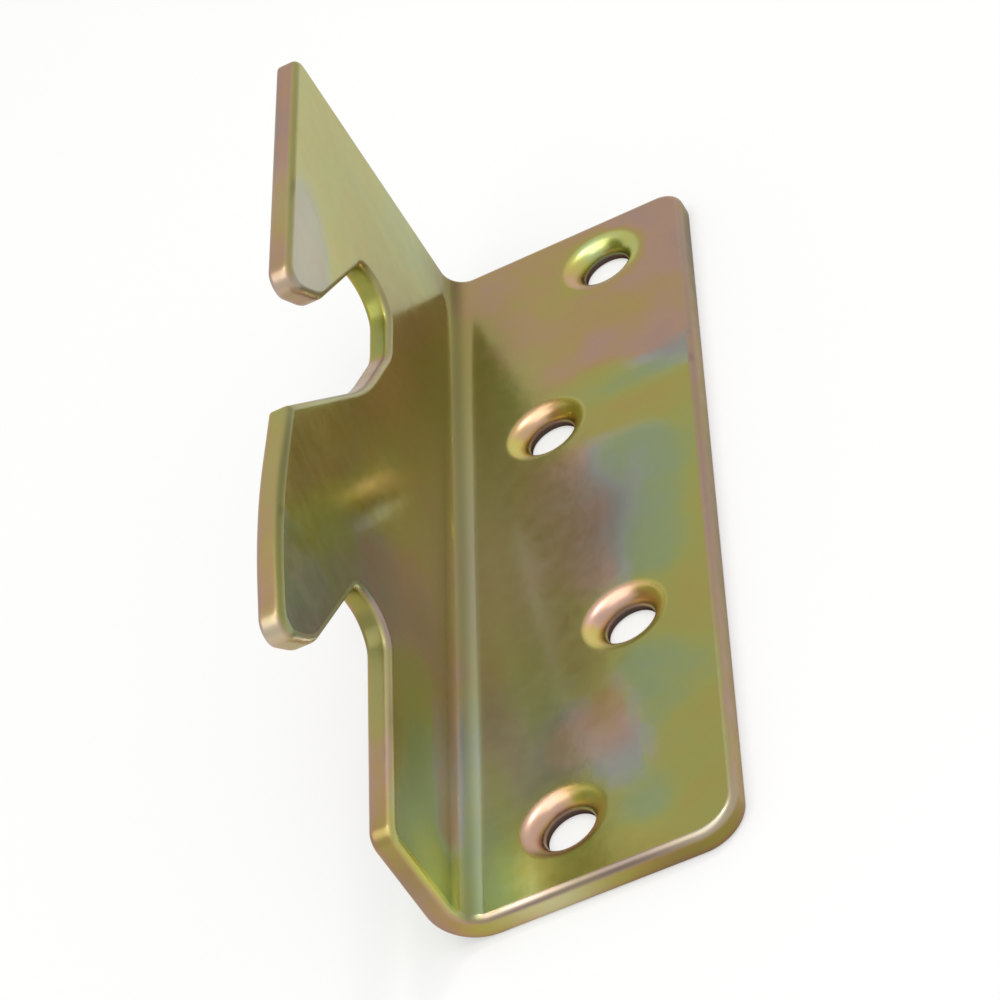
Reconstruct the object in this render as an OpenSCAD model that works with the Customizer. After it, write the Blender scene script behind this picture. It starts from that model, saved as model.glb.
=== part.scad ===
// Bed rail fastener, left hand.
// One punched steel sheet folded at a right angle. The plate is screwed to the inside of a
// bed's side rail, and the flange's two hooks drop over the pins in the bed post.
// x runs across the plate, y along the bend with the hooks pointing to the foot at y = 0,
// and z stands on the plate's back, the face that lies against the rail.

/* [Sheet] */
// Thickness of the steel sheet
sheet_t = 2.5; // [2:0.1:3]
// Inside radius of the bend
bend_r = 2.5; // [2:0.1:3.5]

/* [Screw plate] */
// Width of the plate, from the flange's outer face to the free edge
plate_w = 30; // [29:0.5:36]
// Length of the plate along the bend
plate_l = 98; // [96:0.5:106]
// Radius of the plate's free corner at the foot
foot_corner_r = 7.5; // [3:0.5:9]
// Radius of the plate's free corner at the top
top_corner_r = 4.6; // [3:0.2:9]

/* [Screw holes] */
// Diameter of the screw's bore
screw_d = 5.2; // [4:0.1:6]
// Radius of a hole's rolled mouth, which takes the screw's head
mouth_r = 2; // [1.4:0.1:2]
// Distance from the free edge to the outer row of screws
outer_row_inset = 9.7; // [8:0.1:11]
// Distance between the outer and the inner row of screws
row_gap = 7.4; // [5:0.1:8]
// Distance from the foot to the first screw, which is in the inner row
first_screw_y = 8.7; // [7:0.1:10]
// Distance along the plate from a screw of the inner row to the next of the outer row
zigzag_step = 24.5; // [20:0.5:28]
// Distance from the plate's top end to the last screw, which is in the outer row
last_screw_inset = 7.1; // [6.5:0.1:9]

/* [Hooks] */
// Distance between the two hooks, as between the two pins in the bed post
hook_pitch = 50.8; // [50:0.1:52]
// Reach of the upper hook, from the plate's back
hook_reach = 36.7; // [35:0.1:40]
// Reach of the lower hook's tip, from the plate's back
lower_tip_reach = 35.6; // [35:0.1:36.5]
// Reach of the lower hook at the crown of its bowed edge, taken at the two chords' meeting
crown_reach = 37.2; // [36.8:0.1:38.5]
// Distance from the lower slot's closed end back to the crown, towards the foot
crown_run = 5.2; // [4:0.1:7]
// Radius of the lower hook's bowed edge
crown_r = 88; // [60:1:100]
// Radius of the hooks' tips
tip_r = 1.7; // [0.8:0.1:1.8]
// Slope of a tip's inner side
tip_slope = 50; // [46:1:56]
// Radius between a hook's slanted underside and its tip
knee_r = 8.8; // [5:0.2:10]

/* [Pin slots] */
// Height of the slots' floor above the plate's back
slot_floor_h = 16.6; // [15:0.1:18]
// Distance from the foot to the closed end of the lower slot
lower_slot_end = 27.7; // [27:0.1:29]
// Height of a slot at its closed end
slot_end_gap = 5.5; // [5.2:0.1:6.5]
// Radius in a slot's corner at the floor
slot_floor_r = 3.5; // [2.5:0.1:3.6]
// Radius in a slot's corner under the hook
slot_roof_r = 2.4; // [1.5:0.1:2.6]
// Slope of the upper hook's underside
roof_slope = 26.7; // [24:0.1:30]
// Slope of the lower hook's underside
lower_roof_slope = 25.1; // [24:0.1:29]
// Distance from a slot's closed end to the knee in the hook's underside
knee_run = 15.8; // [14:0.2:17]

/* [Flange edge] */
// Height of the flange's edge at the foot, above the plate's back
foot_h = 15.85; // [14:0.05:17]
// Radius of the flange's corner at the foot
foot_r = 1.5; // [0.8:0.1:3]
// Distance from the lower slot's closed end to the lower hook's shoulder
shoulder_run = 12.1; // [11:0.1:13]
// Height of the lower hook's shoulder
shoulder_h = 35.5; // [34.5:0.1:36.2]
// Radius of the shoulder
shoulder_r = 0.8; // [0.5:0.1:1.5]
// Radius of the flange's corner at the top end
end_corner_r = 1.5; // [0.5:0.1:3]
// Distance from the bend in the ramp to the upper slot's closed end
ramp_bend_run = 20.2; // [19:0.1:21]
// Height of the bend in the ramp
ramp_bend_h = 21.3; // [20.5:0.1:22]
// Radius of the bend in the ramp
ramp_bend_r = 31; // [15:1:33]
// Distance from the ramp's foot to the upper slot's closed end
ramp_foot_run = 9; // [8.5:0.1:10]
// Radius at the ramp's foot
ramp_foot_r = 8.3; // [4:0.1:9]

/* [Hidden] */
$fn = 96;
eps = 1;
bend_out_r = bend_r + sheet_t;
upper_slot_end = lower_slot_end + hook_pitch;
outer_row_x = plate_w - outer_row_inset;
inner_row_x = outer_row_x - row_gap;
row_pitch = plate_l - last_screw_inset - first_screw_y - zigzag_step;

// A screw's place on the plate, for the screws 0 to 3 from the foot up: inner, outer, inner, outer
function screw_at(i) = [
    i % 2 == 0 ? inner_row_x : outer_row_x,
    first_screw_y + (i % 2) * zigzag_step + floor(i / 2) * row_pitch
];

// Corners are [along, up, radius]. They run clockwise, and a radius of 0 leaves a corner sharp.
// One hook's corners, from the slot's closed end round the slanted underside to the tip
function hook_corners(slot_end, tip_h, slope) = let(
    roof_h = slot_floor_h + slot_end_gap,
    knee_h = roof_h + knee_run * tan(slope)
) [
    [slot_end, slot_floor_h, slot_floor_r],
    [slot_end, roof_h, slot_roof_r],
    [slot_end - knee_run, knee_h, knee_r],
    [slot_end - knee_run - (tip_h - knee_h) / tan(tip_slope), tip_h, tip_r]
];

flange_corners = concat(
    [[0, bend_out_r, 0], [0, foot_h, foot_r]],
    hook_corners(lower_slot_end, lower_tip_reach, lower_roof_slope),
    [
        [lower_slot_end - crown_run, crown_reach, crown_r],
        [lower_slot_end + shoulder_run, shoulder_h, shoulder_r],
        [upper_slot_end - ramp_bend_run, ramp_bend_h, ramp_bend_r],
        [upper_slot_end - ramp_foot_run, slot_floor_h, ramp_foot_r]
    ],
    hook_corners(upper_slot_end, hook_reach, roof_slope),
    [[plate_l, hook_reach, end_corner_r], [plate_l, bend_out_r, 0]]
);

plate_corners = [
    [bend_out_r, 0, 0],
    [bend_out_r, plate_l, 0],
    [plate_w, plate_l, top_corner_r],
    [plate_w, 0, foot_corner_r]
];

// Plane geometry of one rounded corner of a closed outline. Its arc is drawn a hair too large,
// so that it crosses both edges just before the points where the true arc would touch them.
hair = 0.001;
function at(c, i) = let(k = (i + len(c)) % len(c)) [c[k][0], c[k][1]];
function way(a, b) = (b - a) / norm(b - a);
function to_last(c, i) = way(at(c, i), at(c, i - 1));
function to_next(c, i) = way(at(c, i), at(c, i + 1));
function half_angle(c, i) = acos(to_last(c, i) * to_next(c, i)) / 2;
function setback(c, i) = c[i][2] / tan(half_angle(c, i));
function arc_start(c, i) = at(c, i) + to_last(c, i) * setback(c, i);
function arc_end(c, i) = at(c, i) + to_next(c, i) * setback(c, i);
function bisector(c, i) = let(v = to_last(c, i) + to_next(c, i)) v / norm(v);
function arc_centre(c, i) = at(c, i) + bisector(c, i) * c[i][2] / sin(half_angle(c, i));
function bulges(c, i) = cross(to_last(c, i), to_next(c, i)) > 0;

// The round's own piece of a corner: what lies between its arc and a line just behind its chord
module arc_piece(c, i) {
    r = c[i][2];
    b = bisector(c, i);
    spare = 2 * sqrt(2 * r * hair);
    before = arc_start(c, i) + to_last(c, i) * spare;
    after = arc_end(c, i) + to_next(c, i) * spare;
    intersection() {
        translate(arc_centre(c, i)) circle(r + hair);
        polygon([before + 0.2 * b, before - r * b, after - r * b, after + 0.2 * b]);
    }
}

// A closed outline with true arcs in its rounded corners
module rounded_outline(c) {
    rounded = [for (i = [0:len(c) - 1]) if (c[i][2] > 0) i];
    difference() {
        union() {
            polygon([
                for (i = [0:len(c) - 1])
                    each (c[i][2] > 0 ? [arc_start(c, i), arc_end(c, i)] : [at(c, i)])
            ]);
            for (i = rounded) if (bulges(c, i)) arc_piece(c, i);
        }
        for (i = rounded) if (!bulges(c, i)) arc_piece(c, i);
    }
}

// A bore with its rolled mouth, which opens on the side of the flange. The mouth's round is
// drawn a hair too large as well, and so crosses the bore's wall and the plate's face.
module screw_hole() {
    bore_r = screw_d / 2;
    translate([0, 0, -eps]) cylinder(h = sheet_t + 2 * eps, r = bore_r);
    translate([0, 0, sheet_t - mouth_r]) rotate_extrude() difference() {
        square([bore_r + mouth_r, mouth_r + eps]);
        translate([bore_r + mouth_r, 0]) circle(mouth_r + hair);
    }
}

module screw_plate() {
    difference() {
        linear_extrude(height = sheet_t) rounded_outline(plate_corners);
        for (i = [0:3]) translate(screw_at(i)) screw_hole();
    }
}

// A quarter of a tube, drawn along the whole length
module bend() {
    translate([0, plate_l, 0]) rotate([90, 0, 0]) linear_extrude(height = plate_l)
        intersection() {
            translate([bend_out_r, bend_out_r]) difference() {
                circle(bend_out_r);
                circle(bend_r);
            }
            translate([-eps, -eps]) square(bend_out_r + eps);
        }
}

// The upright leg, drawn from the side and stood on the bend
module hook_flange() {
    rotate([90, 0, 90]) linear_extrude(height = sheet_t) rounded_outline(flange_corners);
}

// The part's origin is under its middle, on the plate's back
module hook_bracket() {
    color([0.66, 0.62, 0.38]) translate([-plate_w / 2, -plate_l / 2, 0]) union() {
        screw_plate();
        bend();
        hook_flange();
    }
}

hook_bracket();
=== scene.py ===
import math

import bmesh
import bpy
import numpy as np
from mathutils import Matrix, Vector
from mathutils.geometry import delaunay_2d_cdt


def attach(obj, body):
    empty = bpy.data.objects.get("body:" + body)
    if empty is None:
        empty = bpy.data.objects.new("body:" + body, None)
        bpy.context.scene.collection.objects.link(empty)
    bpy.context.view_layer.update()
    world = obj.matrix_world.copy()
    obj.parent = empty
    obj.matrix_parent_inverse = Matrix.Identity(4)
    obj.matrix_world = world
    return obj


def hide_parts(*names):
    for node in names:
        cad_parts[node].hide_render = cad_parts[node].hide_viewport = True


# Bed rail fastener, left hand: one folded sheet with two hooks, in yellow zinc.
# All lengths in the dictionaries are millimetres. The part lies on the plate's back, z is up.

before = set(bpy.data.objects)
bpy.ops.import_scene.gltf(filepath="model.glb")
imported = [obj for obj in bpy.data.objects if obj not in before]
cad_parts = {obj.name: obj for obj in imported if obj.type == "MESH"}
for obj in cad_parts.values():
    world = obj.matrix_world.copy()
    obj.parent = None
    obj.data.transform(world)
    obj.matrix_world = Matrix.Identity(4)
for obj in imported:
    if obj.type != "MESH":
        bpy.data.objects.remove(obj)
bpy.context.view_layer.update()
print("frame loaded")


camera = {
    "place": (107.8, -306.3, 232.5),
    "right": (0.88285, -0.01935, -0.46925),
    "up": (0.37452, 0.63188, 0.67858),
    "back": (0.28338, -0.77482, 0.56511),
    "lens": 145.0,
    "sensor": 36.0,
    "nearest": 10.0,    # nothing closer than this is drawn
}


def makeCamera(c):
    # the camera's right, up and back directions are the three columns of its turn
    data = bpy.data.cameras.new("camera")
    data.lens = c["lens"]
    data.sensor_width = c["sensor"]
    data.clip_start = c["nearest"] / 1000
    obj = bpy.data.objects.new("camera", data)
    turn = Matrix((c["right"], c["up"], c["back"])).transposed().to_4x4()
    obj.matrix_world = Matrix.Translation(Vector(c["place"]) / 1000) @ turn
    bpy.context.scene.collection.objects.link(obj)
    bpy.context.scene.camera = obj


def node(tree, kind, x=0, y=0, **values):
    # one node of a tree, with its place on the sheet and its settings
    n = tree.nodes.new(kind)
    n.location = (x, y)
    for name, value in values.items():
        setattr(n, name, value)
    return n


studio = {
    "room": 1.0,            # brightness of the white room, as the metal and the camera see it
    "fill": 0.88,           # its part in lighting the floor
    "boxes": [              # soft boxes: place, size, power in W
        ((0, -130, 590), 600, 1.7),
        ((135, 170, 560), 60, 0.42),
    ],
    "floorColour": (0.88, 0.88, 0.87, 1),
    "floorGlow": 0.5,       # how far the floor is drawn white for the camera
    "floorRadius": 2500,
    "floorPoints": 96,
}


def makeLight(s):
    # A white room all round, a little dimmer where it lights the floor, and soft boxes that
    # are turned to the part.
    world = bpy.data.worlds.new("white room")
    bpy.context.scene.world = world
    world.use_nodes = True
    t = world.node_tree
    t.nodes.clear()
    out = node(t, "ShaderNodeOutputWorld", 400)
    room = node(t, "ShaderNodeBackground", 0, 100)
    room.inputs["Strength"].default_value = s["room"]
    fill = node(t, "ShaderNodeBackground", 0, -100)
    fill.inputs["Strength"].default_value = s["fill"]
    path = node(t, "ShaderNodeLightPath", -200)
    mix = node(t, "ShaderNodeMixShader", 200)
    t.links.new(path.outputs["Is Diffuse Ray"], mix.inputs[0])
    t.links.new(room.outputs[0], mix.inputs[1])
    t.links.new(fill.outputs[0], mix.inputs[2])
    t.links.new(mix.outputs[0], out.inputs[0])

    for place, size, power in s["boxes"]:
        data = bpy.data.lights.new("soft box", "AREA")
        data.shape = "SQUARE"
        data.size = size / 1000
        data.energy = power
        lamp = bpy.data.objects.new("soft box", data)
        lamp.location = Vector(place) / 1000
        lamp.rotation_euler = (-lamp.location).to_track_quat("-Z", "Y").to_euler()
        bpy.context.scene.collection.objects.link(lamp)


def makeFloor(s):
    # a disc with points at equal angles, matt, and partly drawn white for the camera
    angle = np.linspace(0, 2 * np.pi, s["floorPoints"], endpoint=False)
    ring = s["floorRadius"] / 1000 * np.stack([np.cos(angle), np.sin(angle), 0 * angle], 1)
    mesh = bpy.data.meshes.new("floor")
    mesh.from_pydata(ring.tolist(), [], [list(range(s["floorPoints"]))])
    floor = bpy.data.objects.new("floor", mesh)
    bpy.context.scene.collection.objects.link(floor)
    m = bpy.data.materials.new("pale floor")
    m.use_nodes = True
    t = m.node_tree
    t.nodes.clear()
    out = node(t, "ShaderNodeOutputMaterial", 600)
    plain = node(t, "ShaderNodeBsdfDiffuse", 0, 100)
    plain.inputs["Color"].default_value = s["floorColour"]
    glow = node(t, "ShaderNodeEmission", 0, -100)
    path = node(t, "ShaderNodeLightPath", -400)
    part = node(t, "ShaderNodeMath", 0, 0, operation="MULTIPLY")
    part.inputs[1].default_value = s["floorGlow"]
    mix = node(t, "ShaderNodeMixShader", 300)
    t.links.new(path.outputs["Is Camera Ray"], part.inputs[0])
    t.links.new(part.outputs[0], mix.inputs[0])
    t.links.new(plain.outputs[0], mix.inputs[1])
    t.links.new(glow.outputs[0], mix.inputs[2])
    t.links.new(mix.outputs[0], out.inputs[0])
    mesh.materials.append(m)


bpy.context.scene.view_settings.view_transform = "Standard"
makeCamera(camera)
makeLight(studio)
makeFloor(studio)
print("camera, floor and light made")


sheet = {
    "thick": 2.5,
    "bendInside": 2.5,
    "length": 98.0,
    "width": 30.0,
    "middle": (15.0, 49.0),     # the CAD's origin, seen from the sheet's own corner
    "freeCorners": (4.3, 2.8),  # the plate's corners at the foot and the top, less round than the CAD's
    "frontRound": 0.78,         # tumbled edge on the side of the screw heads
    "tipRound": 1.12,           # the same at the hooks' tips
    "tipZone": (1.5, 5.0),      # away from a tip, where the one goes over to the other
    "backRound": 0.45,          # tumbled edge on the side of the rail
    "support": 0.12,            # narrow flat strip that keeps the broad faces' shading flat
    "roundPoints": 10,          # points round a tumbled edge
    "cutPoints": 3,             # points down the cut face
    "step": 0.45,               # spacing of points along the outline
    "turnStep": 7,              # and their largest turn in an arc, in degrees
    "cell": 1.25,               # spacing of points in the broad faces
    "bendCells": 16,
    "gridGap": 0.35,            # how far these points stay off the outlines
    "snap": 1e-7,               # points closer than this count as one in the broad faces
    "weld": 0.002,              # and closer than this when the surfaces are joined
}
sheet["bendLength"] = math.pi / 2 * (sheet["bendInside"] + sheet["thick"] / 2)
sheet["bendOutside"] = sheet["bendInside"] + sheet["thick"]

# corners of the flange seen from the side: along, up, radius, from the top end to the foot
flange = {
    "pitch": 50.8,
    "slotEnd": 27.7,
    "slotFloor": 16.6,
    "slotGap": 5.5,
    "kneeRun": 15.8,
    "roofSlope": (25.1, 26.7),   # lower and upper hook
    "tipSlope": 50.0,
    "tipReach": (35.6, 36.7),
    "tipRadius": 1.8,
    "kneeRadius": 8.8,
    "roofRadius": 2.4,           # in a pin slot's corner under the hook
    "floorRadius": 3.5,          # in its other corner
    "edge": [(39.8, 35.5, 1.0), (22.5, 37.19, 88.0)],
    "ramp": [(69.5, 16.6, 8.3), (58.3, 21.3, 31.0)],
    "foot": (0.0, 15.85, 1.6),
    "top": (98.0, 36.7, 1.6),
}

screws = {
    "places": [(12.9, 8.7), (20.3, 33.2), (12.9, 66.4), (20.3, 90.9)],
    "bore": 2.6,            # radius
    "head": 4.6,            # radius of the mouth at the face
    "depth": 2.0,           # of the mouth
    "backRound": 0.3,
    "support": 0.15,
    "points": 96,           # round a hole
    "rollPoints": 18,       # down its mouth
    "backPoints": 6,
}


def hookCorners(f, lower):
    # tip, knee, slot roof and slot floor of one hook, listed from the tip inwards
    end = f["slotEnd"] + (0 if lower else f["pitch"])
    reach = f["tipReach"][0 if lower else 1]
    slope = f["roofSlope"][0 if lower else 1]
    knee = f["slotFloor"] + f["slotGap"] + f["kneeRun"] * math.tan(math.radians(slope))
    tip = end - f["kneeRun"] - (reach - knee) / math.tan(math.radians(f["tipSlope"]))
    return [
        (tip, reach, f["tipRadius"]),
        (end - f["kneeRun"], knee, f["kneeRadius"]),
        (end, f["slotFloor"] + f["slotGap"], f["roofRadius"]),
        (end, f["slotFloor"], f["floorRadius"]),
    ]


def sheetCorners(s, f):
    # the flat blank's corners as across, along, radius; the plate has positive across
    def unfold(corner):
        return (-s["bendLength"] - (corner[1] - s["bendOutside"]), corner[0], corner[2])

    upper, lower = hookCorners(f, False), hookCorners(f, True)
    side = [f["top"]] + upper + f["ramp"] + f["edge"] + lower + [f["foot"]]
    free = s["width"] - s["bendOutside"]
    foot, top = s["freeCorners"]
    return [(free, 0.0, foot), (free, s["length"], top)] + [unfold(c) for c in side]


def roundedLoop(corners, step, turnStep):
    # A closed outline: straight runs joined by arcs of each corner's radius.
    # Each run and arc is cut into equal steps; the normal points out of the sheet.
    points, normals = [], []
    count = len(corners)
    arcs = []
    for i in range(count):
        p, a, b = (np.array(corners[k % count][:2]) for k in (i, i - 1, i + 1))
        r = corners[i][2]
        da, db = (a - p) / np.linalg.norm(a - p), (b - p) / np.linalg.norm(b - p)
        half = math.acos(float(np.clip(da @ db, -1, 1))) / 2
        way = (da + db) / np.linalg.norm(da + db)
        centre = p + way * r / math.sin(half)
        start, end = p + da * r / math.tan(half), p + db * r / math.tan(half)
        bulges = da[0] * db[1] - da[1] * db[0] < 0
        arcs.append((centre, start, end, r, bulges))
    for i in range(count):
        centre, start, end, r, bulges = arcs[i]
        a0 = math.atan2(*(start - centre)[::-1])
        turn = (math.atan2(*(end - centre)[::-1]) - a0 + math.pi) % (2 * math.pi) - math.pi
        n = max(int(abs(turn) / math.radians(turnStep)), int(abs(turn) * r / step), 2)
        a = a0 + turn * np.arange(n) / n
        spoke = np.stack([np.cos(a), np.sin(a)], 1)
        points.append(centre + r * spoke)
        normals.append(spoke if bulges else -spoke)
        following = arcs[(i + 1) % count][1]
        gap = np.linalg.norm(following - end)
        n = max(int(gap / step), 1)
        share = (np.arange(n) / n)[:, None]
        points.append(end + (following - end) * share)
        run = (following - end) / gap
        normals.append(np.repeat([[run[1], -run[0]]], n, 0))
    return np.concatenate(points), np.concatenate(normals)


def fold(s, across, along, depth):
    # The blank's points onto the folded part: the plate lies flat, the bend is a quarter
    # turn about its own centre, the flange stands up; depth goes in from the front face.
    centre = s["bendOutside"]
    a = np.clip(-across / s["bendLength"], 0, 1) * np.pi / 2
    radius = s["bendInside"] + depth
    x = centre - radius * np.sin(a) + np.clip(across, 0, None)
    z = centre - radius * np.cos(a) + np.clip(-across - s["bendLength"], 0, None)
    y = along
    return np.stack([x - s["middle"][0], y - s["middle"][1], z], -1)


def smooth(low, high, value):
    # 0 up to low and 1 from high on, with a soft S between them
    share = np.clip((value - low) / (high - low), 0, 1)
    return share * share * (3 - 2 * share)


def blend(a, b, share):
    # a mixed with a share of b
    return a * (1 - share) + b * share


def rimProfile(s, front):
    # inset and depth across the sheet's thickness, for each point of the outline: strip,
    # front round, cut face, back round, strip
    b, t = s["backRound"], s["thick"]
    a = np.linspace(0, np.pi / 2, s["roundPoints"])[:, None]
    inset = [front + s["support"], *front * (1 - np.sin(a))]
    depth = [0 * front, *front * (1 - np.cos(a))]
    for share in np.linspace(0, 1, s["cutPoints"] + 2)[1:-1]:
        inset.append(0 * front)
        depth.append(front + (t - b - front) * share)
    inset += [*(b * (1 - np.cos(a)) + 0 * front), b + s["support"] + 0 * front]
    depth += [*(t - b + b * np.sin(a) + 0 * front), t + 0 * front]
    return np.array(inset), np.array(depth)


def screwProfile(s, w):
    # radius and depth down the hole: the face rolls over in a quarter ellipse into a short
    # bore, whose edge at the back is rounded
    head, bore, back, t = w["head"], w["bore"], w["backRound"], s["thick"]
    a = np.linspace(0, np.pi / 2, w["rollPoints"])
    roll = np.stack([head - (head - bore) * np.sin(a), w["depth"] * (1 - np.cos(a))], 1)
    a = np.linspace(0, np.pi / 2, w["backPoints"])
    edge = np.stack([bore + back * (1 - np.cos(a)), t - back + back * np.sin(a)], 1)
    first, last = [[head + w["support"], 0]], [[bore + back + w["support"], t]]
    return np.concatenate([first, roll, edge, last])


def inside(points, loop):
    # even-odd rule: count the loop's edges crossed by a ray to the right of each point; a
    # level edge is never crossed, so its height of 0 is replaced by 1 in the division
    x, y = points[:, 0][:, None], points[:, 1][:, None]
    x0, y0 = loop[:, 0][None], loop[:, 1][None]
    x1, y1 = np.roll(x0, -1, 1), np.roll(y0, -1, 1)
    crosses = (y0 > y) != (y1 > y)
    reach = x0 + (y - y0) * (x1 - x0) / np.where(y1 == y0, 1, y1 - y0)
    return (crosses & (x < reach)).sum(1) % 2 == 1


def broadFace(s, loops, flip):
    # triangles between the outline and the hole rims, with an even grid of points inside
    c = s["cell"]
    lo, hi = loops[0].min(0), loops[0].max(0)
    plate = np.arange(c / 2, hi[0], c)
    bend = -s["bendLength"] * np.arange(s["bendCells"] + 1) / s["bendCells"]
    leg = np.arange(-s["bendLength"] - c, lo[0], -c)
    rows = np.arange(lo[1] + c, hi[1] - c / 2, c)
    gridX, gridY = np.meshgrid(np.concatenate([plate, bend, leg]), rows)
    grid = np.stack([gridX.ravel(), gridY.ravel()], 1)
    keep = inside(grid, loops[0])
    for loop in loops[1:]:
        keep &= ~inside(grid, loop)
    grid = grid[keep]
    rims = np.concatenate(loops)
    near = np.sqrt(((grid[:, None] - rims[None]) ** 2).sum(-1)).min(1)
    grid = grid[near > s["gridGap"]]
    vertices = np.concatenate([rims, grid])
    edges, start = [], 0
    for loop in loops:
        k = np.arange(len(loop))
        edges.append(np.stack([start + k, start + (k + 1) % len(loop)], 1))
        start += len(loop)
    edges = np.concatenate(edges).tolist()
    done = delaunay_2d_cdt([Vector(v) for v in vertices.tolist()], edges, [], 0, s["snap"])
    points = np.array([tuple(v) for v in done[0]])
    faces = np.array([tuple(f) for f in done[2]])
    middle = points[faces].mean(1)
    keep = inside(middle, loops[0])
    for loop in loops[1:]:
        keep &= ~inside(middle, loop)
    faces = faces[keep]
    return points, faces[:, ::-1] if flip else faces


def bandFaces(rows, columns):
    # quads between neighbouring rows of a grid whose columns run round a loop
    r, k = np.meshgrid(np.arange(rows - 1), np.arange(columns), indexing="ij")
    following = (k + 1) % columns
    a, b = r * columns + k, r * columns + following
    c, d = (r + 1) * columns + following, (r + 1) * columns + k
    return np.stack([a, b, c, d], -1).reshape(-1, 4)


def sheetMesh(s, f, w):
    # The blank's surfaces with their depth: a band round the outline, a band down each hole,
    # and the front and the back face between the bands' first and last rows.
    flat, faces, total = [], [], 0

    def add(across, along, depth, quads):
        nonlocal total
        flat.append(np.stack([across.ravel(), along.ravel(), depth.ravel()], 1))
        faces.extend((quads + total).tolist())
        total += across.size

    outline, normal = roundedLoop(sheetCorners(s, f), s["step"], s["turnStep"])
    tips = [hookCorners(f, lower)[0][:2] for lower in (False, True)]
    folded = np.stack([outline[:, 1], -outline[:, 0] - s["bendLength"] + s["bendOutside"]], 1)
    far = np.min([np.hypot(*(folded - tip).T) for tip in tips], 0)
    front = blend(s["tipRound"], s["frontRound"], smooth(*s["tipZone"], far))
    inset, depth = rimProfile(s, front)
    swept = outline[None] - normal[None] * inset[..., None]
    add(swept[..., 0], swept[..., 1], depth, bandFaces(len(inset), len(outline)))
    frontLoops, backLoops = [swept[0]], [swept[-1]]

    profile = screwProfile(s, w)
    a = np.linspace(0, 2 * np.pi, w["points"], endpoint=False)
    for place in w["places"]:
        x = place[0] - s["bendOutside"] + profile[:, 0][:, None] * np.cos(a)[None]
        y = place[1] + profile[:, 0][:, None] * np.sin(a)[None]
        depth = np.repeat(profile[:, 1][:, None], len(a), 1)
        add(x, y, depth, bandFaces(len(profile), len(a))[:, ::-1])
        frontLoops.append(np.stack([x[0], y[0]], 1))
        backLoops.append(np.stack([x[-1], y[-1]], 1))

    for loops, level, flip in ((frontLoops, 0.0, False), (backLoops, s["thick"], True)):
        points, triangles = broadFace(s, loops, flip)
        add(points[:, 0], points[:, 1], np.full(len(points), level), triangles)
    return np.concatenate(flat), faces


def makeBracket(s, f, w):
    # the blank's points are folded into place, given their film, and joined to a closed body
    flat, faces = sheetMesh(s, f, w)
    place = fold(s, flat[:, 0], flat[:, 1], flat[:, 2]) / 1000
    mesh = bpy.data.meshes.new("hookBracket")
    mesh.from_pydata(place.tolist(), [], faces)
    # the tone attribute holds bare zinc, painted light and shade, and the bores' share
    for name, values in zip(("film", "tone"), filmOnBlank(s, film, w, flat)):
        attribute = mesh.attributes.new(name, "FLOAT_VECTOR", "POINT")
        attribute.data.foreach_set("vector", values.astype(np.float32).ravel())
    work = bmesh.new()
    work.from_mesh(mesh)
    bmesh.ops.remove_doubles(work, verts=work.verts, dist=s["weld"] / 1000)
    bmesh.ops.recalc_face_normals(work, faces=work.faces)
    work.to_mesh(mesh)
    work.free()
    mesh.shade_smooth()
    obj = bpy.data.objects.new("hookBracket", mesh)
    bpy.context.scene.collection.objects.link(obj)
    print("bracket mesh:", len(mesh.vertices), "points,", len(mesh.polygons), "faces")
    return obj


# Colours of the passivation film as it thickens, one full round of the rainbow
filmColours = [
    (0.00, (164, 151, 67)),
    (0.10, (171, 141, 85)),
    (0.20, (174, 137, 114)),
    (0.30, (166, 133, 122)),
    (0.41, (148, 138, 131)),
    (0.47, (143, 144, 140)),
    (0.53, (143, 152, 130)),
    (0.60, (137, 152, 114)),
    (0.70, (141, 155, 101)),
    (0.85, (156, 157, 75)),
    (1.00, (164, 151, 67)),
]

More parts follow.
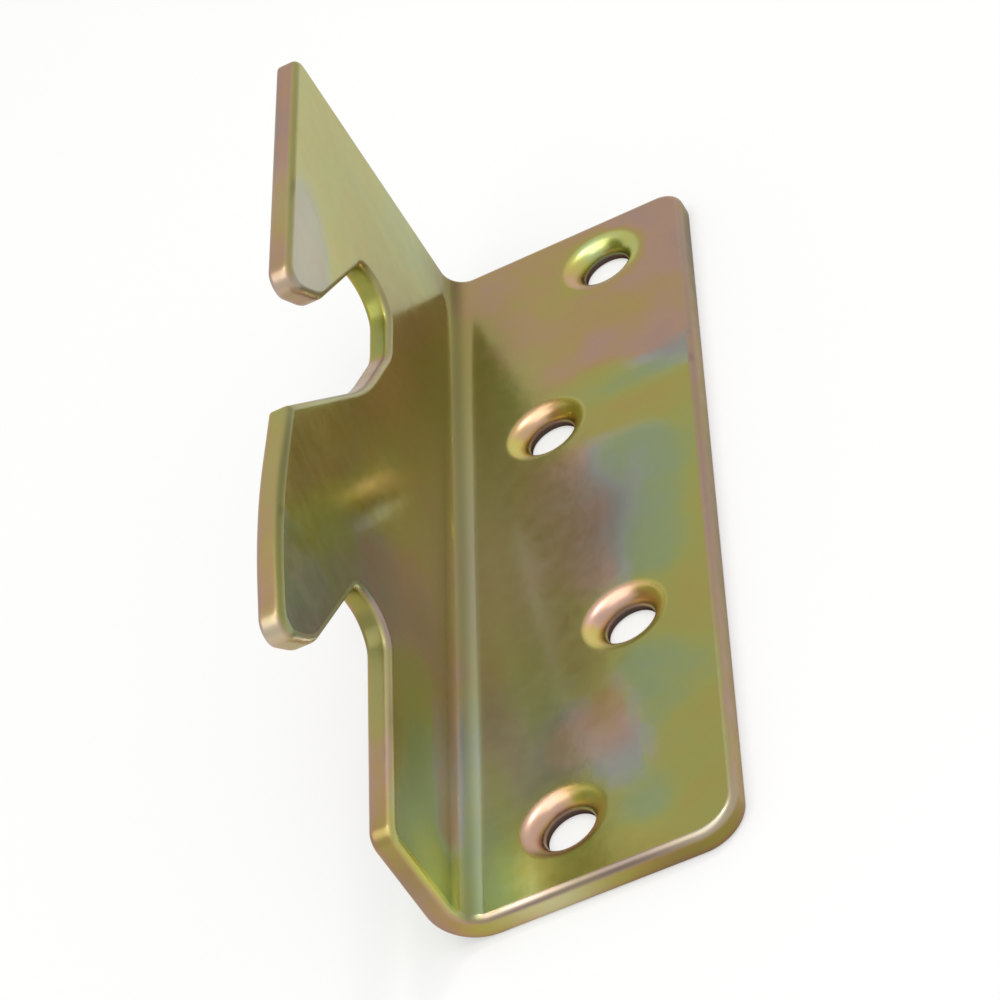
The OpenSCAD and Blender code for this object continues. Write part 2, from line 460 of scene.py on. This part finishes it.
# Patches of the film: x and y on the plate, or height and y on the flange, then two radii
# and the patch's own value. On the cut edges the height is negative.
film = {
    "face": 0.93,       # thickness where no patch is felt, in turns of the rainbow
    "baseWeight": 0.02,
    "plate": [
        (27, 93, 7, 8, 0.25), (8, 94, 6, 6, 0.17), (13, 84, 4, 12, 0.07), (25, 81, 5, 4, 0.10),
        (24, 75, 6, 4, 0.21), (29, 70, 4, 2.2, 0.50), (23, 68.5, 4, 2, 0.66), (20, 71, 3, 2, 0.86),
        (25, 64, 7, 4, 0.98), (22, 57, 4, 4, 0.60), (26, 53, 3, 4, 0.62), (29, 50, 2, 14, 0.88),
        (22, 49, 3, 6, 0.48), (17, 47, 3, 9, 0.30), (13, 50, 4, 10, 0.20), (7, 50, 3, 14, 0.98),
        (25, 43, 3, 6, 0.68), (28, 31, 4, 6, 0.97), (24, 23, 4, 5, 0.66), (18.5, 20, 2, 4, 0.13),
        (19, 14, 2, 3, 0.42), (13, 19, 3, 4, 0.30), (10, 26, 4, 5, 0.72), (7, 20, 3, 6, 0.58),
        (7, 13, 3.5, 8, 0.63), (13, 9, 5, 5, 0.86), (22, 7, 2.5, 3, 0.64), (27, 9, 4, 8, 0.93),
        (18, 3, 5, 2, 0.97), (7, 66, 4, 9, 0.93), (6, 82, 3, 9, 0.98), (13, 34, 5, 8, 0.90),
    ],
    "facePale": 0.06,   # share of bare zinc everywhere, then where it is larger
    "platePale": [
        (6, 46, 7, 26, 0.48), (12, 46, 6, 14, 0.22), (8, 18, 7, 10, 0.36), (17, 14, 5, 5, 0.20),
    ],
    # painted light and shade on the plate: patches drawn brighter or darker
    "plateLightAndShade": [  # brighter or darker
        (8, 3, 4, 6, 1.60), (7, 15, 4, 9, 0.34), (19, 50, 2.5, 5, -0.14), (18, 48, 4, 8, -0.14),
        (17, 4, 6, 4, 0.16), (6, 82, 4, 12, -0.15), (3.3, 48, 1.8, 20, -0.20), (3.3, 3, 1.8, 5, -0.20),
    ],
    "flange": [
        (30, 90, 10, 12, 0.88), (10, 92, 6, 7, 0.72), (33.5, 66, 2.6, 9, 0.44), (10, 82, 5, 9, 0.98),
        (9, 62, 5, 12, 0.05), (18, 62, 4, 10, 0.03), (22, 48, 6, 8, 0.84), (5, 96, 2.5, 8, 0.05),
        (6, 40, 2, 12, 0.10), (10, 34, 5, 6, 0.22), (18, 32, 4, 5, 0.40), (26, 29, 4, 4, 0.62),
        (33, 34, 4, 8, 0.88), (33, 17, 4, 5, 0.48), (11, 24, 3, 6, 0.86), (11, 13, 3, 7, 0.66),
        (6, 19, 2, 8, 0.33), (15, 14, 2, 8, 0.04), (13, 6, 2, 4, 0.62), (7, 3, 4, 3, 0.82),
    ],
    "flangePale": [
        (33.5, 66, 3.2, 10, 0.50), (6, 46, 3, 20, 0.20), (18, 52, 9, 14, 0.16), (31, 15, 4, 4, 0.10),
        (12, 72, 7, 10, 0.12),
    ],
    # painted light and shade on the flange: patches drawn brighter or darker
    "flangeLightAndShade": [
        (8, 3, 6, 5, 0.58), (6, 15, 3, 7, 0.42), (18, 47, 5, 5, 0.20), (34, 34, 5, 9, -0.30),
        (12, 78, 12, 14, -0.30), (22, 56, 8, 8, -0.20), (17, 28, 8, 9, -0.16), (26, 90, 14, 16, -0.15),
        (33.5, 66, 3.2, 10, -0.18), (2.5, 14, 1.5, 12, 0.25), (5, 96, 4, 5, -0.55),
        (16, 15, 2, 3, -0.22), (24, 46, 6, 12, -0.20), (10, 35, 4, 5, -0.16),
    ],
    # painted shade across the bend
    "bendShade": -0.34,
    "unlike": 0.55,     # where neighbouring films agree less than this, they fade out
    "unlikePale": 0.8,
    "unlikeTone": -0.32,
    "rim": 0.25,
    "rimSides": 0.22,   # thicker film along both edges of the cut face
    "rims": [
        (-37, 63, 4, 3, 0.14), (-37, 71, 4, 5, 0.03), (-37, 86, 4, 10, 0.23), (-37, 34, 4, 6, 0.95),
        (-36, 22, 4, 8, 0.05), (-35, 11, 4, 3, 0.10), (-16, 22, 4, 6, 0.90), (-14, 6, 4, 7, 0.08),
        (-8, 0, 4, 3, 0.10), (-20, 76, 4, 4, 0.82), (24, 0, 6, 2, 0.02), (30, 60, 2, 60, 0.10),
        (12, 0, 5, 2, 0.97),
    ],
    # painted light and shade on the cut edges: painted shade in most patches, painted glints at the
    # hooks' tips
    "rimLightAndShade": [
        (30, 92, 2, 14, -0.62), (30, 45, 2, 40, -0.45), (-16, 18, 3, 7, -0.06), (-17, 27, 3, 3, -0.40),
        (-10, 0, 6, 3, -0.26), (10, 0, 5, 2, 0.24), (25, 0, 7, 4, -0.36),
        (-36, 8.5, 3, 1.6, 0.15), (-37, 58.5, 3, 1.6, 0.15),
    ],
    # bare zinc on the cut edges; the first two patches, at the hooks' tips, are painted glints
    "rimPalesAndGlints": [
        (-35.8, 8.2, 3, 1.6, 0.55), (-36.7, 58.5, 3, 1.6, 0.55), (11, 0, 5, 2, 0.40),
        (-37, 26, 5, 20, 0.12), (-37, 72, 5, 8, 0.18), (-17, 18, 4, 16, 0.16), (-8, 0, 4, 3, 0.10),
    ],
    # along the front's rounded edge: two places, two radii, then thickness, tone, bare zinc. The tone
    # is painted light and shade: negative values dim the edge's highlight, positive ones add a painted
    # highlight.
    "bevels": [
        (9, 0, 6, 3, 0.22, -0.60, 0.45), (19, 0, 5, 3, 0.22, -0.50, 0.40),
        (27, 2, 4, 4, 0.16, -0.10, 0.70), (-11, 2, 6, 4, 0.94, 0.30, 0.00),
        (30, 60, 2, 40, 0.20, -0.20, 0.20), (-37, 22, 4, 26, 0.90, -0.38, 0.10),
        (-37, 80, 4, 24, 0.95, -0.14, 0.16),
    ],
    "bevelPale": 0.20,
    "bevelRough": 0.7,
    # depths from the front, or for the last one from the back, over which these set in or end
    "rimStart": (0.02, 0.5),
    "rimLightAndShadeStart": (0.3, 0.9),
    "bevelEnd": (0.35, 0.8),
    "rimBack": (0.0, 0.25),
    # round each hole, from the foot up: direction in degrees, thickness, tone; the tone is painted
    # light and shade round the mouth's wall
    "mouths": [
        [
            (170, 0.27, 0.42), (120, 0.26, 0.45), (85, 0.10, 0.45), (55, 0.90, 0.60),
            (15, 0.97, 0.75), (270, 0.12, -0.35),
        ],
        [(195, 0.95, 0.85), (145, 0.24, 0.40), (105, 0.18, 0.48), (30, 0.02, 0.80), (270, 0.95, -0.25)],
        [(195, 0.95, 0.80), (140, 0.17, 0.40), (100, 0.16, 0.48), (30, 0.00, 0.75), (270, 0.95, -0.25)],
        [
            (195, 0.20, 0.40), (160, 0.95, 0.50), (120, 0.72, 0.60), (60, 0.80, 0.55),
            (20, 0.88, 0.45), (270, 0.16, -0.10),
        ],
    ],
    "mouthSpread": 30,          # width of a direction's bell, in degrees
    "mouthRest": 0.01,
    "mouthPale": 0.08,
    "mouthRough": 0.6,
    "mouthReach": 0.25,         # how far past the mouth's edge it is still the mouth
    "mouthEdge": (-0.45, 0.2),  # from the mouth's edge, where its film ends
    "mouthBack": (0.0, 0.2),    # from the back
    # painted shade deeper down the mouth
    "mouthDark": (0.8, 1.6),    # depth over which it gets darker
    "mouthShade": 0.5,           # and by how much
    "halo": (0.90, 0.5, 0.9),   # film, strength and width of the ring round a mouth
    # the bore's tone is painted shade inside the hole
    "bore": (0.30, -0.72),      # film and tone
    "boreStart": (-0.5, -0.1),  # from the mouth's bottom
}


def bells(across, along, patches):
    # how strongly each patch is felt: a bell of its two radii
    for x, y, rx, ry, value in patches:
        yield np.exp(-((across - x) / rx) ** 2 - ((along - y) / ry) ** 2), value


def direction(thickness):
    # a film's thickness as a direction on the rainbow's circle
    return np.exp(2j * np.pi * thickness)


def filmTurn(d, across, along, base, patches):
    # Directions are averaged with their bells as weights, so that neighbouring patches blend
    # along the shorter way round. The length of the result says how well they agree.
    turn, total = d["baseWeight"] * direction(base), d["baseWeight"]
    for weight, value in bells(across, along, patches):
        turn, total = turn + weight * direction(value), total + weight
    return turn / total


def filmLevel(across, along, patches):
    # the patches' values, each times its bell, added up
    return sum((weight * value for weight, value in bells(across, along, patches)), 0 * across)


def mouthFilm(d, mouth, angle):
    # the film and the painted light and shade of a hole's mouth, averaged with bells round its
    # directions
    wall, level, total = 0, 0, 0
    for place, value, bright in mouth:
        away = (angle - place + 180) % 360 - 180
        weight = np.exp(-(away / d["mouthSpread"]) ** 2) + d["mouthRest"]
        wall, level, total = wall + weight * direction(value), level + weight * bright, total + weight
    return wall / np.abs(wall), level / total


def filmOnBlank(s, d, w, flat):
    # The flange's patches go over to the plate's in the bend, and the faces' to the cut
    # edge's round the edge. Each hole has its own rolled mouth, a bore darkened by painted
    # shade, and a halo. The tone carries painted light and shade.
    across, along, depth = flat[:, 0], flat[:, 1], flat[:, 2]
    x = across + s["bendOutside"]
    height = -across - s["bendLength"] + s["bendOutside"]
    inner = s["thick"] - depth
    leg = smooth(0, 1, -across / s["bendLength"])
    place = np.where(leg > 0.5, -height, x)

    def faceLevel(plate, upright):
        return blend(filmLevel(x, along, d[plate]), filmLevel(height, along, d[upright]), leg)

    plate = filmTurn(d, x, along, d["face"], d["plate"])
    upright = filmTurn(d, height, along, d["face"], d["flange"])
    turn = blend(plate, upright, leg)
    pale = faceLevel("platePale", "flangePale") + d["facePale"]
    # painted light and shade on the faces, and painted shade across the bend
    tone = faceLevel("plateLightAndShade", "flangeLightAndShade") + d["bendShade"] * np.sin(np.pi * leg) ** 2
    unlike = 1 - smooth(0, d["unlike"], np.abs(turn))
    pale, tone = blend(pale, d["unlikePale"], unlike), tone + d["unlikeTone"] * unlike
    turn = turn / np.abs(turn)

    edge = smooth(*d["rimStart"], depth) * smooth(*d["rimBack"], inner)
    side = (2 * depth / s["thick"] - 1) ** 2
    rim = filmTurn(d, place, along, d["rim"], d["rims"]) * direction(d["rimSides"] * side)
    # painted light and shade on the cut faces, setting in with depth from the front
    rimLightAndShade = filmLevel(place, along, d["rimLightAndShade"]) * smooth(*d["rimLightAndShadeStart"], depth)
    outer = (depth > 0) * (1 - smooth(*d["bevelEnd"], depth))   # the front's rounded edge
    rough = edge + d["bevelRough"] * outer
    bore = 0 * depth

    head = w["head"]
    haloFilm, haloStrength, haloWidth = d["halo"]
    for (px, py), mouth in zip(w["places"], d["mouths"]):
        away = np.hypot(x - px, along - py)
        near = away < head + d["mouthReach"]
        wall, level = mouthFilm(d, mouth, np.degrees(np.arctan2(along - py, x - px)))
        # painted shade: the mouth's wall is drawn darker deeper down
        level = level - d["mouthShade"] * smooth(*d["mouthDark"], depth)
        share = 1 - smooth(head + d["mouthEdge"][0], head + d["mouthEdge"][1], away)
        share = np.where(near, share, 0) * smooth(*d["mouthBack"], inner)
        halo = haloStrength * np.exp(-((away - head) / haloWidth) ** 2) * (depth < s["thick"] / 2)
        turn = blend(blend(turn, direction(haloFilm), halo), wall, share)
        pale, tone = blend(pale, d["mouthPale"], share), blend(tone, level, share)
        edge, outer = np.where(near, 0, edge), np.where(near, 0, outer)
        rough = np.where(near, d["mouthRough"] * share, rough)
        wallShare = smooth(w["depth"] + d["boreStart"][0], w["depth"] + d["boreStart"][1], depth)
        bore = np.where(near, wallShare * smooth(*d["mouthBack"], inner), bore)

    # the bore's painted shade
    boreFilm, boreShade = d["bore"]
    turn = blend(blend(turn, rim, edge), direction(boreFilm), bore)
    tone = blend(blend(tone, rimLightAndShade, edge), boreShade, bore)
    pale = blend(pale, filmLevel(place, along, d["rimPalesAndGlints"]), edge) + d["bevelPale"] * outer
    for px, py, rx, ry, value, bright, bare in d["bevels"]:
        share = outer * np.exp(-((place - px) / rx) ** 2 - ((along - py) / ry) ** 2)
        turn, pale = blend(turn, direction(value), share), blend(pale, bare, share)
        # painted light and shade along the front's rounded edge
        tone = tone + bright * share
    turn = turn / np.abs(turn)
    return np.stack([turn.real, turn.imag, rough], 1), np.stack([pale, tone, bore], 1)


def linear(colour):
    # from a screen's values of 0 to 255 to linear light, by the sRGB formula
    c = np.array(colour) / 255
    return tuple(np.where(c <= 0.04045, c / 12.92, ((c + 0.055) / 1.055) ** 2.4)) + (1.0,)


def filmGroup(stops, zinc):
    # The direction on the rainbow's circle is turned back into a thickness, shifted by a
    # small amount, and read off the rainbow, which repeats with every whole turn. Bare zinc
    # is mixed in, and the result is made brighter or darker by the tone, which is painted
    # light and shade together with the darkening where films fade.
    g = bpy.data.node_groups.new("film colour", "ShaderNodeTree")
    for name, kind in (("Film", "Vector"), ("Shift", "Float"), ("Pale", "Float"), ("Tone", "Float")):
        g.interface.new_socket(name, in_out="INPUT", socket_type="NodeSocket" + kind)
    g.interface.new_socket("Colour", in_out="OUTPUT", socket_type="NodeSocketColor")
    start, end = node(g, "NodeGroupInput", -800), node(g, "NodeGroupOutput", 1000)
    parts = node(g, "ShaderNodeSeparateXYZ", -600)
    angle = node(g, "ShaderNodeMath", -400, operation="ARCTAN2")
    turns = node(g, "ShaderNodeMath", -200, operation="MULTIPLY_ADD")
    turns.inputs[1].default_value = 1 / (2 * math.pi)
    part = node(g, "ShaderNodeMath", 0, operation="FRACT")
    ramp = node(g, "ShaderNodeValToRGB", 200)
    elements = ramp.color_ramp.elements
    elements[0].position, elements[0].color = stops[0][0], linear(stops[0][1])
    elements[1].position, elements[1].color = stops[-1][0], linear(stops[-1][1])
    for place, colour in stops[1:-1]:
        elements.new(place).color = linear(colour)
    mix = node(g, "ShaderNodeMix", 500, data_type="RGBA")
    mix.inputs["B"].default_value = linear(zinc)
    level = node(g, "ShaderNodeMath", 500, -200, operation="ADD")
    level.inputs[1].default_value = 1.0
    scaled = node(g, "ShaderNodeVectorMath", 800, operation="SCALE")
    g.links.new(start.outputs["Film"], parts.inputs[0])
    g.links.new(parts.outputs["Y"], angle.inputs[0])
    g.links.new(parts.outputs["X"], angle.inputs[1])
    g.links.new(angle.outputs[0], turns.inputs[0])
    g.links.new(start.outputs["Shift"], turns.inputs[2])
    g.links.new(turns.outputs[0], part.inputs[0])
    g.links.new(part.outputs[0], ramp.inputs[0])
    g.links.new(start.outputs["Pale"], mix.inputs["Factor"])
    g.links.new(ramp.outputs[0], mix.inputs["A"])
    g.links.new(start.outputs["Tone"], level.inputs[0])
    g.links.new(mix.outputs["Result"], scaled.inputs[0])
    g.links.new(level.outputs[0], scaled.inputs["Scale"])
    g.links.new(scaled.outputs[0], end.inputs["Colour"])
    return g


finish = {
    "zinc": (196, 193, 178),        # bare zinc under the film
    "clouds": (190, 5, 0.14),       # the film's unevenness: scale, detail, share of a rainbow
    "smears": (420, 4),             # the gloss's unevenness: scale, detail
    "noiseSpan": (0.3, 0.7),        # the part of a noise's range that is used
    "roughness": (0.17, 0.25),
    "rimRoughness": 0.17,           # added on the cut edges and in the holes' mouths
    "boreRoughness": 0.25,          # added in the bores
    "grazing": (1.0, 0.97, 0.80, 1.0),      # tint of the reflection at a flat angle
    # the bores' dark reflection tint is painted shade, together with their dark tone
    "boreGrazing": (0.20, 0.15, 0.11, 1.0),
    "coat": 0.22,
    "coatRoughness": 0.09,
    "ripple": (260, 2, 0.04, 1.0),  # the sheet's faint waviness: scale, detail, strength, height
    "grain": (2600, 2, 0.04, 0.1),
}


def makeFinish(d):
    # The film's colour on metal, with a thin clear coat. The cut edges and mouths are
    # rougher, and the bores have neither the coat nor the bright reflection at a flat angle.
    m = bpy.data.materials.new("yellow zinc")
    m.use_nodes = True
    t = m.node_tree
    t.nodes.clear()
    out = node(t, "ShaderNodeOutputMaterial", 1000)
    steel = node(t, "ShaderNodeBsdfPrincipled", 700)
    steel.inputs["Metallic"].default_value = 1.0
    steel.inputs["Coat Roughness"].default_value = d["coatRoughness"]
    place = node(t, "ShaderNodeTexCoord", -1300)
    filmAt = node(t, "ShaderNodeAttribute", -700, 500, attribute_name="film")
    toneAt = node(t, "ShaderNodeAttribute", -700, 300, attribute_name="tone")
    filmParts = node(t, "ShaderNodeSeparateXYZ", -500, 500)
    toneParts = node(t, "ShaderNodeSeparateXYZ", -500, 300)
    t.links.new(filmAt.outputs["Vector"], filmParts.inputs[0])
    t.links.new(toneAt.outputs["Vector"], toneParts.inputs[0])
    rimmed = filmParts.outputs["Z"]
    # tone: brighter or darker, as painted light and shade and where films fade
    pale, tone, bored = (toneParts.outputs[axis] for axis in "XYZ")

    def noise(scale, detail, y):
        n = node(t, "ShaderNodeTexNoise", -1100, y)
        n.inputs["Scale"].default_value = scale
        n.inputs["Detail"].default_value = detail
        t.links.new(place.outputs["Object"], n.inputs["Vector"])
        return n.outputs[0]

    def ranged(source, low, high, y):
        # the noise's own span is stretched to run from low to high
        r = node(t, "ShaderNodeMapRange", -700, y)
        r.inputs["From Min"].default_value = d["noiseSpan"][0]
        r.inputs["From Max"].default_value = d["noiseSpan"][1]
        r.inputs["To Min"].default_value = low
        r.inputs["To Max"].default_value = high
        t.links.new(source, r.inputs[0])
        return r.outputs[0]

    def addScaled(source, share, base, x, y):
        # base + share * source
        n = node(t, "ShaderNodeMath", x, y, operation="MULTIPLY_ADD")
        n.inputs[1].default_value = share
        t.links.new(source, n.inputs[0])
        if isinstance(base, float):
            n.inputs[2].default_value = base
        else:
            t.links.new(base, n.inputs[2])
        return n.outputs[0]

    def relief(scale, detail, strength, height, x, y):
        # a noise as a faint relief, its height in millimetres
        n = node(t, "ShaderNodeBump", x, y)
        n.inputs["Strength"].default_value = strength
        n.inputs["Distance"].default_value = height / 1000
        t.links.new(noise(scale, detail, y), n.inputs["Height"])
        return n

    scale, detail, share = d["clouds"]
    colour = node(t, "ShaderNodeGroup", 100, 400)
    colour.node_tree = filmGroup(filmColours, d["zinc"])
    shift = ranged(noise(scale, detail, 100), -share / 2, share / 2, 100)
    t.links.new(filmAt.outputs["Vector"], colour.inputs["Film"])
    t.links.new(shift, colour.inputs["Shift"])
    t.links.new(pale, colour.inputs["Pale"])
    t.links.new(tone, colour.inputs["Tone"])
    t.links.new(colour.outputs["Colour"], steel.inputs["Base Color"])

    rough = ranged(noise(*d["smears"], -150), *d["roughness"], -150)
    rough = addScaled(rimmed, d["rimRoughness"], rough, 100, 0)
    rough = addScaled(bored, d["boreRoughness"], rough, 100, -200)
    t.links.new(rough, steel.inputs["Roughness"])

    coat = addScaled(bored, -d["coat"], d["coat"], 400, -150)
    t.links.new(coat, steel.inputs["Coat Weight"])
    tint = node(t, "ShaderNodeMix", 400, 200, data_type="RGBA")
    tint.inputs["A"].default_value = d["grazing"]
    tint.inputs["B"].default_value = d["boreGrazing"]
    t.links.new(bored, tint.inputs["Factor"])
    t.links.new(tint.outputs["Result"], steel.inputs["Specular Tint"])

    waves = relief(*d["ripple"], 100, -400)
    dust = relief(*d["grain"], 350, -650)
    t.links.new(waves.outputs[0], dust.inputs["Normal"])
    t.links.new(dust.outputs[0], steel.inputs["Normal"])
    t.links.new(steel.outputs[0], out.inputs[0])
    return m


bracket = makeBracket(sheet, flange, screws)
bracket.data.materials.append(makeFinish(finish))
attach(bracket, "root")
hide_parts("hook_bracket")
